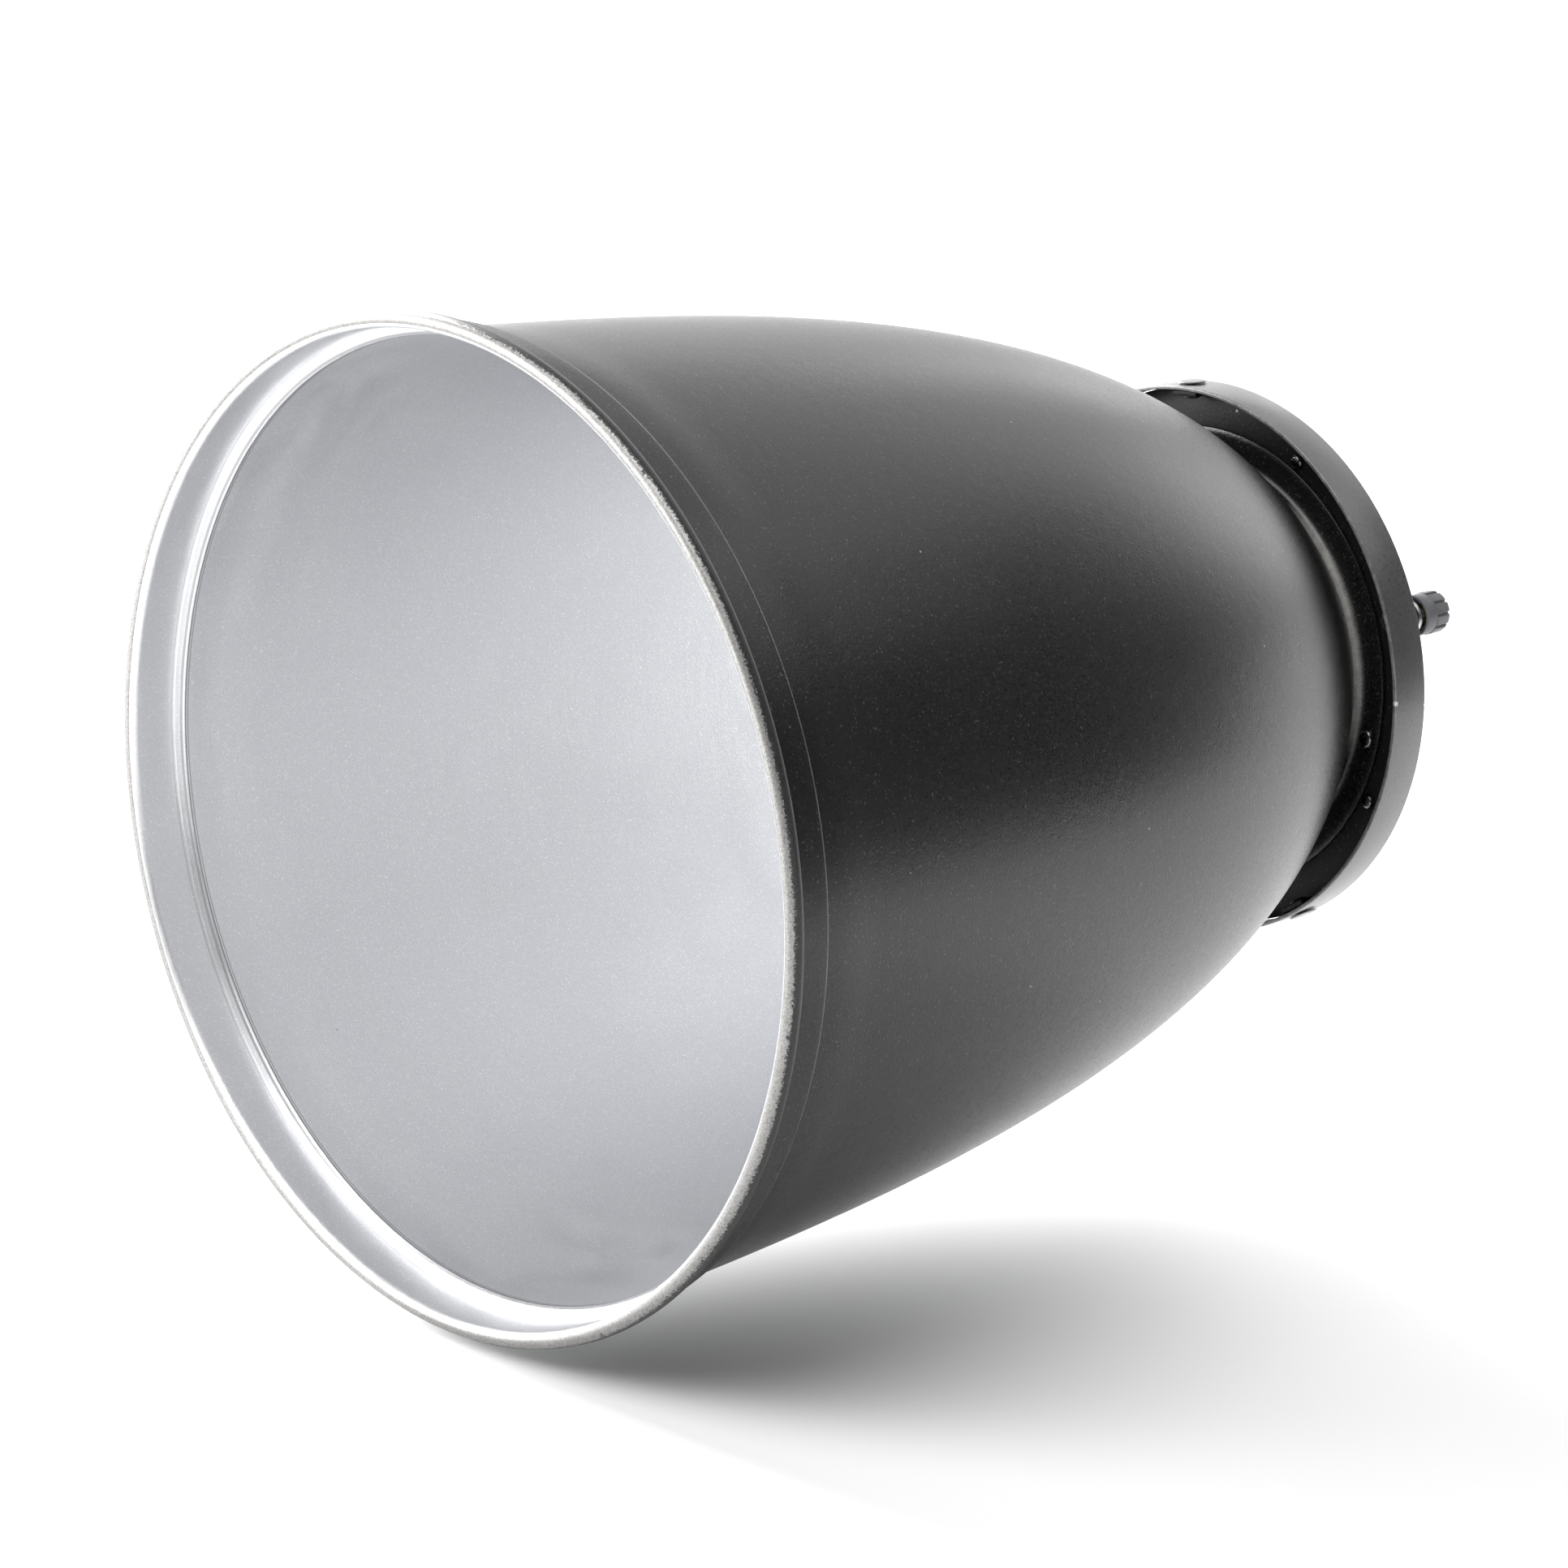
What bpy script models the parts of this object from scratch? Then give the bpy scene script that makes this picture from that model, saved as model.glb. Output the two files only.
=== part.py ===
"""Long-throw strobe reflector: a deep spun bowl on a riveted mounting ring.

Frame: metres, +Z up. The optical axis is the Y axis. The mouth of the bowl
opens towards -Y and the mounting side is +Y. The origin is the centre of the
mounting plate's rear face. A clock angle is measured in the XZ plane, from +Z
towards +X. Sizes below are in millimetres and are scaled once, by MM.
"""
import math

import bmesh
import bpy
from mathutils import Matrix, Vector

MM = 0.001
GAP = 0.3                     # clearance between pieces that touch

# ---------------------------------------------------------------- dimensions
# bowl
LIP_R = 140.0                 # outside radius of the rolled lip
MOUTH_Y = -299.2              # plane of the lip's centre
SHEET = 1.3                   # spun aluminium sheet
CURL_R = 1.85                 # rolled lip, radius to mid sheet
BAND_LEN = 12.1               # straight accessory band behind the lip
STEP_R = 3.45                 # radial drop of the step behind the band
NECK_FILLET = 3.0             # neck to flange, radius to mid sheet
FLANGE_R = 69.6               # outside radius of the bowl's rear flange
BODY_R0, BODY_LEN, BODY_P, BODY_Q, BODY_TAPER = 133.8, 321.87, 2.93, 2.65, 0.062
# mounting ring
PLATE_T = 2.3
PLATE_BORE = 60.0
PLATE_R = 81.0
BAND_R = 82.5
BAND_T = 1.2
BAND_W = 12.8
TAB_IN, TAB_OUT, TAB_HALF, TAB_DEPTH = 79.2, 80.7, 3.3, 7.6
# bayonet adapter
ADAPT_BORE = 49.5
ADAPT_R = 68.0
ADAPT_T = 2.5
COLLAR_R = 52.5
COLLAR_END = 13.0
LUG_R = 58.0
LUG_Y0, LUG_Y1 = 9.5, 12.4
LUG_ARC = 35.0
# clamping stations
KNOB_CLOCK = 72.2
STUD_PCR = 74.9
STUD_R = 2.0
THREAD_PITCH = 0.8
KNOB_R = 6.3
KNOB_LEN = 10.1
KNOB_LOBES = 10
# fasteners
RIVET_PCR = 72.0
SCREW_PCR = 65.6
RIM_RIVET_OFFSET = 76.5       # rim rivets, either side of each stud
SEG = 60

CLAMPS = [KNOB_CLOCK, KNOB_CLOCK + 180.0]
ADAPT_CLOCKS = [KNOB_CLOCK + 45.0 + 90.0 * k for k in range(4)]
SCREW_CLOCKS = [101.8 + 120.0 * k for k in range(3)]
RIM_CLOCKS = [c + d for c in CLAMPS for d in (-RIM_RIVET_OFFSET, RIM_RIVET_OFFSET)]


# ---------------------------------------------------------------- helpers
def clear_scene():
    for ob in list(bpy.data.objects):
        bpy.data.objects.remove(ob, do_unlink=True)


def material(name, rgb, rough, metal):
    mat = bpy.data.materials.new(name)
    mat.use_nodes = True
    node = mat.node_tree.nodes["Principled BSDF"]
    node.inputs["Base Color"].default_value = (*rgb, 1.0)
    node.inputs["Roughness"].default_value = rough
    node.inputs["Metallic"].default_value = metal
    mat.diffuse_color = (*rgb, 1.0)
    return mat


def at(radius, clock, y):
    a = math.radians(clock)
    return Vector((radius * math.sin(a), y, radius * math.cos(a))) * MM


def add(name, bm, mat, location=(0, 0, 0), rotation=(0, 0, 0)):
    bmesh.ops.remove_doubles(bm, verts=bm.verts, dist=1e-7)
    bmesh.ops.recalc_face_normals(bm, faces=bm.faces)
    mesh = bpy.data.meshes.new(name)
    bm.to_mesh(mesh)
    bm.free()
    mesh.shade_smooth()
    mesh.set_sharp_from_angle(angle=math.radians(35))
    ob = bpy.data.objects.new(name, mesh)
    ob.location = location
    ob.rotation_euler = rotation
    bpy.context.scene.collection.objects.link(ob)
    if mat is not None:
        mesh.materials.append(mat)
    return ob


def lathe_bm(profile, seg):
    """Spin a closed (y, r) outline about the Y axis."""
    bm = bmesh.new()
    vs = [bm.verts.new((r * MM, y * MM, 0.0)) for y, r in profile]
    es = [bm.edges.new((vs[i], vs[(i + 1) % len(vs)])) for i in range(len(vs))
          if not (profile[i][1] == 0 and profile[(i + 1) % len(vs)][1] == 0)]
    bmesh.ops.spin(bm, geom=vs + es, cent=(0, 0, 0), axis=(0, 1, 0),
                   angle=2 * math.pi, steps=seg, use_merge=True,
                   use_normal_flip=False, use_duplicate=False)
    return bm


def lathe(name, profile, mat, seg, location=(0, 0, 0), rotation=(0, 0, 0)):
    return add(name, lathe_bm(profile, seg), mat, location, rotation)


def polar_bm(angles, rings):
    """Closed solid from ring functions: each ring is (y, r) at a clock angle."""
    bm = bmesh.new()
    rows = []
    for ring in rings:
        row = []
        for a in angles:
            y, r = ring(a)
            row.append(bm.verts.new((r * math.sin(a) * MM, y * MM, r * math.cos(a) * MM)))
        rows.append(row)
    n = len(angles)
    for k in range(len(rows)):
        low, high = rows[k], rows[(k + 1) % len(rows)]
        for i in range(n):
            j = (i + 1) % n
            bm.faces.new((low[i], low[j], high[j], high[i]))
    return bm


def cutter(name, bm):
    ob = add(name, bm, None)
    ob.hide_render = True
    ob.display_type = 'WIRE'
    return ob


def cylinders_bm(items, seg=14):
    """Cylinders given as (centre in metres, unit axis, radius, length) in millimetres."""
    bm = bmesh.new()
    for centre, axis, radius, length in items:
        turn = Vector((0, 0, 1)).rotation_difference(Vector(axis)).to_matrix().to_4x4()
        bmesh.ops.create_cone(bm, cap_ends=True, cap_tris=False, segments=seg,
                              radius1=radius * MM, radius2=radius * MM,
                              depth=length * MM,
                              matrix=Matrix.Translation(centre) @ turn)
    return bm


def boolean(ob, tool, operation):
    mod = ob.modifiers.new(operation.lower(), 'BOOLEAN')
    mod.operation = operation
    mod.solver = 'EXACT'
    mod.object = tool


def sector_bm(specs):
    """Ring sectors given as (clock, half angle, r0, r1, y0, y1)."""
    bm = bmesh.new()
    for clock, half, r0, r1, y0, y1 in specs:
        steps = 6
        loops = []
        for i in range(steps + 1):
            a = clock - half + 2 * half * i / steps
            loops.append([bm.verts.new(at(r, a, y)) for r, y in
                          ((r0, y0), (r1, y0), (r1, y1), (r0, y1))])
        for p, q in zip(loops, loops[1:]):
            for k in range(4):
                bm.faces.new((p[k], p[(k + 1) % 4], q[(k + 1) % 4], q[k]))
        bm.faces.new(loops[0])
        bm.faces.new(loops[-1])
    return bm


# ---------------------------------------------------------------- bowl
def body_outer(s):
    return BODY_R0 * (1 - (s / BODY_LEN) ** BODY_P) ** (1 / BODY_Q) - BODY_TAPER * s


def body_slope(s):
    return (body_outer(s + 0.05) - body_outer(s - 0.05)) / 0.1


def body_mid(s):
    return body_outer(s) - SHEET / 2 * math.hypot(1, body_slope(s))


def bowl_centreline():
    """Middle of the sheet as (s, r), s measured back from the lip's centre plane."""
    pts = []
    curl_c = LIP_R - SHEET / 2 - CURL_R
    for k in range(7):                                   # rolled lip, open at the back
        a = math.radians(45 * k)
        pts.append((CURL_R * math.cos(a), curl_c + CURL_R * math.sin(a)))
    band_r = curl_c - CURL_R
    fr = 1.0                                             # corner radius of the step
    low_r = band_r - STEP_R
    for a in (90, 45, 0):
        t = math.radians(a)
        pts.append((BAND_LEN + fr * math.cos(t), band_r - fr + fr * math.sin(t)))
    for a in (180, 225, 270):
        t = math.radians(a)
        pts.append((BAND_LEN + 2 * fr + fr * math.cos(t), low_r + fr + fr * math.sin(t)))
    # drawn body, stations closer together towards the neck
    flange_s = -MOUTH_Y - PLATE_T - GAP - SHEET / 2
    cs = flange_s - NECK_FILLET
    tangent_s = cs
    for _ in range(40):
        k = -body_slope(tangent_s)
        tangent_s = cs - NECK_FILLET * k / math.hypot(1, k)
    n = 11
    first = 22.0
    for i in range(n):
        u = i / (n - 1)
        pts.append((first + (tangent_s - first) * (1 - (1 - u) ** 1.55), 0))
        pts[-1] = (pts[-1][0], body_mid(pts[-1][0]))
    k = -body_slope(tangent_s)
    cr = body_mid(tangent_s) + NECK_FILLET / math.hypot(1, k)
    start = math.atan2(body_mid(tangent_s) - cr, tangent_s - cs)
    for i in range(1, 5):
        a = start + (0 - start) * i / 4
        pts.append((cs + NECK_FILLET * math.cos(a), cr + NECK_FILLET * math.sin(a)))
    pts.append((flange_s, FLANGE_R))
    return pts


def thicken(line, t):
    """Closed outline of a sheet of thickness t on a centreline."""
    left, right = [], []
    n = len(line)
    for i, (x, y) in enumerate(line):
        segs = []
        if i > 0:
            segs.append((x - line[i - 1][0], y - line[i - 1][1]))
        if i < n - 1:
            segs.append((line[i + 1][0] - x, line[i + 1][1] - y))
        nx = ny = 0.0
        for dx, dy in segs:
            m = math.hypot(dx, dy)
            nx += -dy / m
            ny += dx / m
        m = math.hypot(nx, ny)
        nx, ny = nx / m, ny / m
        if len(segs) == 2:                                # mitre keeps the thickness
            dx, dy = segs[0]
            d = math.hypot(dx, dy)
            c = nx * (-dy / d) + ny * (dx / d)
        else:
            c = 1.0
        h = t / 2 / max(c, 0.6)
        left.append((x + nx * h, y + ny * h))
        right.append((x - nx * h, y - ny * h))
    return left + right[::-1]


def make_bowl(mat):
    outline = [(s + MOUTH_Y, r) for s, r in thicken(bowl_centreline(), SHEET)]
    ob = lathe("reflector_bowl", outline, mat, SEG)
    y = -PLATE_T - GAP
    tool = cutter("bowl_hole_cutter", cylinders_bm(
        [(at(SCREW_PCR, c, y), (0, 1, 0), 1.8, 5.0) for c in SCREW_CLOCKS]))
    boolean(ob, tool, 'DIFFERENCE')
    return ob


# ---------------------------------------------------------------- mounting ring
def make_plate(mat):
    b = 0.3
    prof = [(-PLATE_T, PLATE_BORE + b), (-PLATE_T, PLATE_R), (0, PLATE_R),
            (0, PLATE_BORE + b), (-b, PLATE_BORE), (-PLATE_T + b, PLATE_BORE)]
    ob = lathe("mount_plate", prof, mat, SEG)
    tabs = cutter("plate_tab_former", sector_bm(
        [(c, TAB_HALF, TAB_IN, TAB_OUT, -PLATE_T - TAB_DEPTH, -PLATE_T + 0.9) for c in RIM_CLOCKS]))
    boolean(ob, tabs, 'UNION')
    rim_y = -BAND_W / 2
    holes = [(at(SCREW_PCR, c, -PLATE_T / 2), (0, 1, 0), 1.8, 6.0) for c in SCREW_CLOCKS]
    holes += [(at(RIVET_PCR, c, -PLATE_T / 2), (0, 1, 0), 1.8, 6.0) for c in ADAPT_CLOCKS]
    holes += [(at(STUD_PCR, c, -PLATE_T / 2), (0, 1, 0), STUD_R + GAP, 6.0) for c in CLAMPS]
    holes += [(at((TAB_IN + TAB_OUT) / 2, c, rim_y), at(1, c, 0).normalized(), 1.8, 4.0)
              for c in RIM_CLOCKS]
    boolean(ob, cutter("plate_hole_cutter", cylinders_bm(holes)), 'DIFFERENCE')
    return ob


def make_rim_band(mat):
    b = 0.3
    r0, r1 = BAND_R - BAND_T, BAND_R
    prof = [(-BAND_W, r0 + b), (-BAND_W, r1 - b), (-BAND_W + b, r1), (-b, r1),
            (0, r1 - b), (0, r0 + b), (-b, r0), (-BAND_W + b, r0)]
    ob = lathe("rim_band", prof, mat, SEG)
    holes = [(at(BAND_R - BAND_T / 2, c, -BAND_W / 2), at(1, c, 0).normalized(), 1.8, 5.0)
             for c in RIM_CLOCKS]
    boolean(ob, cutter("band_hole_cutter", cylinders_bm(holes)), 'DIFFERENCE')
    return ob


def make_adapter(mat):
    """Bayonet ring behind the plate: four-eared flange, collar and three lugs."""
    ear_c, ear_r = 70.0, 8.0
    half = math.degrees(math.asin(ear_r / ear_c))
    angles = set(6.0 * k for k in range(60))
    for c in ADAPT_CLOCKS:
        for u in (-1.0, -0.93, -0.75, -0.5, -0.25, 0.0, 0.25, 0.5, 0.75, 0.93, 1.0):
            angles.add((c + u * half) % 360.0)
    ordered = sorted(angles)
    kept = [ordered[0]]
    for a in ordered[1:]:
        if a - kept[-1] > 0.35:
            kept.append(a)
    rad = [math.radians(a) for a in kept]

    def outer(a):
        best = ADAPT_R
        for c in ADAPT_CLOCKS:
            d = (a - math.radians(c) + math.pi) % (2 * math.pi) - math.pi
            q = ear_r ** 2 - (ear_c * math.sin(d)) ** 2
            if abs(d) < 0.3 and q > 0:
                best = max(best, ear_c * math.cos(d) + math.sqrt(q))
        return best

    y0, y1 = GAP, GAP + ADAPT_T
    rings = [lambda a: (y0, ADAPT_BORE), lambda a: (y0, outer(a)),
             lambda a: (y1, outer(a)), lambda a: (y1, COLLAR_R),
             lambda a: (COLLAR_END - 0.5, COLLAR_R), lambda a: (COLLAR_END, COLLAR_R - 0.5),
             lambda a: (COLLAR_END, ADAPT_BORE)]
    ob = add("bayonet_adapter", polar_bm(rad, rings), mat)
    lugs = cutter("lug_former", sector_bm(
        [(120.0 * k, LUG_ARC / 2, COLLAR_R - 1.5, LUG_R, LUG_Y0, LUG_Y1) for k in range(3)]))
    boolean(ob, lugs, 'UNION')
    holes = [(at(RIVET_PCR, c, y1 / 2), (0, 1, 0), 1.8, 8.0) for c in ADAPT_CLOCKS]
    boolean(ob, cutter("adapter_hole_cutter", cylinders_bm(holes)), 'DIFFERENCE')
    return ob


# ---------------------------------------------------------------- fasteners
def domed(y0, h, r, inward):
    """Half outline of a domed head: from its rim to the axis. inward is -1 or 1."""
    return [(y0, r), (y0 + inward * h * 0.45, r * 0.93), (y0 + inward * h * 0.85, r * 0.6),
            (y0 + inward * h, 0)]


def make_flange_screw(i, clock, mat):
    front = -PLATE_T - GAP - SHEET - GAP                  # underside of the head
    prof = [(-0.5, 0), (-0.5, 1.2), (-0.8, 1.5), (front, 1.5)]
    prof += [(front, 2.75), (front - 1.1, 2.6), (front - 1.5, 2.1), (front - 1.5, 0)]
    return lathe("flange_screw_%d" % i, prof, mat, 12, at(SCREW_PCR, clock, 0))


def make_adapter_rivet(i, clock, mat):
    front = -PLATE_T - GAP
    back = GAP + ADAPT_T + GAP
    prof = domed(front, 1.4, 2.2, -1)[::-1] + [(front, 1.5), (back, 1.5)] + domed(back, 1.2, 2.6, 1)
    return lathe("adapter_rivet_%d" % i, prof, mat, 12, at(RIVET_PCR, clock, 0))


def make_rim_rivet(i, clock, mat):
    """Radial rivet; its local +Y is the outward radius."""
    inner = TAB_IN - GAP
    outer = BAND_R + GAP
    prof = domed(inner, 1.0, 2.6, -1)[::-1] + [(inner, 1.5), (outer, 1.5)]
    prof += [(outer, 4.2), (outer + 0.25, 4.15), (outer + 0.45, 3.6), (outer + 0.5, 0)]
    return lathe("rim_rivet_%d" % i, prof, mat, 14, at(0, 0, -BAND_W / 2),
                 (math.radians(90), math.radians(clock), 0))


def make_stud(i, clock, mat):
    front = -PLATE_T - GAP
    end = 14.0
    prof = [(front - 1.4, 0), (front - 1.4, 2.9), (front - 1.1, 3.4), (front, 3.4),
            (front, STUD_R), (end - 0.6, STUD_R), (end, STUD_R - 0.5), (end, 0)]
    return lathe("clamp_stud_%d" % i, prof, mat, 14, at(STUD_PCR, clock, 0))


# ---------------------------------------------------------------- clamp stations
SPACER_Y = (GAP, 3.0)
LATCH_Y = (3.3, 4.8)
WASHER_Y = (5.1, 5.9)
KNOB_Y = 6.2


def tube(y0, y1, r0, r1):
    return [(y0, r0), (y0, r1), (y1, r1), (y1, r0)]


def make_latch(i, clock, mat):
    """Swinging clamp tab: a hub on the stud and an arm towards the axis."""
    hub, tip, reach = 5.2, 3.2, 11.0
    n = 9
    pts = []
    for k in range(n):                                    # hub side, away from the axis
        a = math.radians(-100 + 200 * k / (n - 1))
        pts.append((hub * math.sin(a), hub * math.cos(a)))
    for k in range(n):                                    # tip
        a = math.radians(90 + 180 * k / (n - 1))
        pts.append((tip * math.sin(a), -reach + tip * math.cos(a)))
    bm = bmesh.new()
    low = [bm.verts.new((x * MM, LATCH_Y[0] * MM, z * MM)) for x, z in pts]
    face = bm.faces.new(low)
    got = bmesh.ops.extrude_face_region(bm, geom=[face])
    top = [g for g in got["geom"] if isinstance(g, bmesh.types.BMVert)]
    bmesh.ops.translate(bm, verts=top, vec=(0, (LATCH_Y[1] - LATCH_Y[0]) * MM, 0))
    ob = add("clamp_latch_%d" % i, bm, mat, at(STUD_PCR, clock, 0), (0, math.radians(clock), 0))
    tool = cutter("latch_hole_cutter_%d" % i, cylinders_bm(
        [(at(STUD_PCR, clock, 4.0), (0, 1, 0), STUD_R + GAP, 6.0)]))
    boolean(ob, tool, 'DIFFERENCE')
    return ob


def make_knob(i, clock, mat):
    """Fluted cap with a plain skirt; hollow underneath, with a bore for its insert."""
    per = 4
    n = KNOB_LOBES * per
    angles = [2 * math.pi * k / n for k in range(n)]

    def ring(y, r, flute=0.0):
        def f(a):
            k = int(round(a / (2 * math.pi) * n)) % per
            return (KNOB_Y + y, r - (flute if k == 0 else 0.0))
        return f
    skirt = KNOB_R - 0.25
    rings = [ring(8.6, 0.0), ring(8.6, 3.6), ring(2.2, 3.6), ring(2.0, 4.9), ring(0.0, 5.1),
             ring(0.0, skirt - 0.2), ring(0.3, skirt), ring(4.2, skirt), ring(4.5, KNOB_R, 0.7),
             ring(KNOB_LEN - 0.6, KNOB_R - 0.1, 0.7), ring(KNOB_LEN - 0.1, KNOB_R - 0.7, 0.3),
             ring(KNOB_LEN, 0.0)]
    bm = bmesh.new()
    rows = []
    for f in rings:
        row = []
        for a in angles:
            y, r = f(a)
            row.append(bm.verts.new((r * math.sin(a) * MM, y * MM, r * math.cos(a) * MM)))
        rows.append(row)
    for low, high in zip(rows, rows[1:]):
        for k in range(n):
            bm.faces.new((low[k], low[(k + 1) % n], high[(k + 1) % n], high[k]))
    bmesh.ops.remove_doubles(bm, verts=bm.verts, dist=1e-7)
    return add("thumb_knob_%d" % i, bm, mat, at(STUD_PCR, clock, 0))


# ---------------------------------------------------------------- build
def main():
    clear_scene()
    black = material("black_satin_paint", (0.028, 0.028, 0.030), 0.42, 0.0)
    plate_m = material("black_matt_plate", (0.020, 0.020, 0.023), 0.55, 0.0)
    band_m = material("black_satin_band", (0.045, 0.045, 0.048), 0.35, 0.3)
    cast_m = material("cast_adapter", (0.32, 0.32, 0.33), 0.45, 1.0)
    steel_m = material("bright_steel", (0.55, 0.55, 0.56), 0.3, 1.0)
    dark_m = material("blackened_steel", (0.05, 0.05, 0.055), 0.4, 0.8)
    knob_m = material("grey_plastic", (0.16, 0.16, 0.17), 0.45, 0.0)
    brass_m = material("brass", (0.62, 0.46, 0.2), 0.35, 1.0)
    nylon_m = material("black_nylon", (0.02, 0.02, 0.02), 0.5, 0.0)

    make_bowl(black)
    make_plate(plate_m)
    make_rim_band(band_m)
    make_adapter(cast_m)
    for i, c in enumerate(SCREW_CLOCKS, 1):
        make_flange_screw(i, c, dark_m)
    for i, c in enumerate(ADAPT_CLOCKS, 1):
        make_adapter_rivet(i, c, dark_m)
    for i, c in enumerate(RIM_CLOCKS, 1):
        make_rim_rivet(i, c, band_m)
    for i, c in enumerate(CLAMPS, 1):
        where = at(STUD_PCR, c, 0)
        make_stud(i, c, steel_m)
        lathe("clamp_spacer_%d" % i, tube(*SPACER_Y, STUD_R + GAP, 4.2), steel_m, 14, where)
        make_latch(i, c, steel_m)
        lathe("thumb_washer_%d" % i, tube(*WASHER_Y, STUD_R + GAP, 4.5), nylon_m, 14, where)
        make_knob(i, c, knob_m)
        lathe("knob_insert_%d" % i, tube(KNOB_Y + 2.5, KNOB_Y + 7.9, STUD_R + GAP, 3.3),
              brass_m, 14, where)


main()
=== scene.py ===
import math

import bmesh
import bpy
from mathutils import Matrix, Vector


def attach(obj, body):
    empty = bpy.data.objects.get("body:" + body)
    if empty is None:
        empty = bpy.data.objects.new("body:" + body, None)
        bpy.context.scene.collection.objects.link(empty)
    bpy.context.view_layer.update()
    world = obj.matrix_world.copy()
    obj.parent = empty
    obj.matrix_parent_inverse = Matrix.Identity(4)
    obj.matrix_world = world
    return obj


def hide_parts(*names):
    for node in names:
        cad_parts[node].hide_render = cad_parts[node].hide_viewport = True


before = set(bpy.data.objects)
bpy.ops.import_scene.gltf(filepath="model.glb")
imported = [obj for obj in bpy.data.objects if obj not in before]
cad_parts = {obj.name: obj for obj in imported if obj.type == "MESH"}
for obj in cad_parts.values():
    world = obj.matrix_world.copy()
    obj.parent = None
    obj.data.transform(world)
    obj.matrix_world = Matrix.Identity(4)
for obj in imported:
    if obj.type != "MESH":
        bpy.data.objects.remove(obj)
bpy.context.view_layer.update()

MM = 0.001
TAU = 2 * math.pi

# Sizes in millimetres, in the CAD's frame: optical axis on Y, mouth at -Y, clock from +Z to +X.
LIP_R, MOUTH_Y, SHEET, CURL_R = 140.0, -299.2, 1.3, 1.85
BAND_LEN, STEP_R, NECK_FILLET, FLANGE_R = 12.1, 3.45, 3.0, 69.6
BODY_R0, BODY_LEN, BODY_P, BODY_Q, BODY_TAPER = 133.8, 321.87, 2.93, 2.65, 0.062
GAP, PLATE_T, PLATE_BORE, PLATE_R = 0.3, 2.3, 60.0, 81.0
RING_R, RING_T, RING_W = 82.5, 1.2, 12.8
TAB_IN, TAB_OUT, TAB_HALF, TAB_DEPTH = 79.2, 80.7, 3.3, 7.6
KNOB_CLOCK, STUD_PCR, STUD_R, PITCH = 72.2, 74.9, 2.0, 0.8
RIVET_PCR, SCREW_PCR = 72.0, 65.6
CLAMPS = [KNOB_CLOCK, KNOB_CLOCK + 180.0]
ADAPT_CLOCKS = [KNOB_CLOCK + 45.0 + 90.0 * k for k in range(4)]
SCREW_CLOCKS = [101.8 + 120.0 * k for k in range(3)]
RIM_CLOCKS = [c + d for c in CLAMPS for d in (-76.5, 76.5)]
CURL_C = LIP_R - SHEET / 2 - CURL_R


def at(r, clock, y):
    a = math.radians(clock)
    return Vector((r * math.sin(a), y, r * math.cos(a))) * MM


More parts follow.
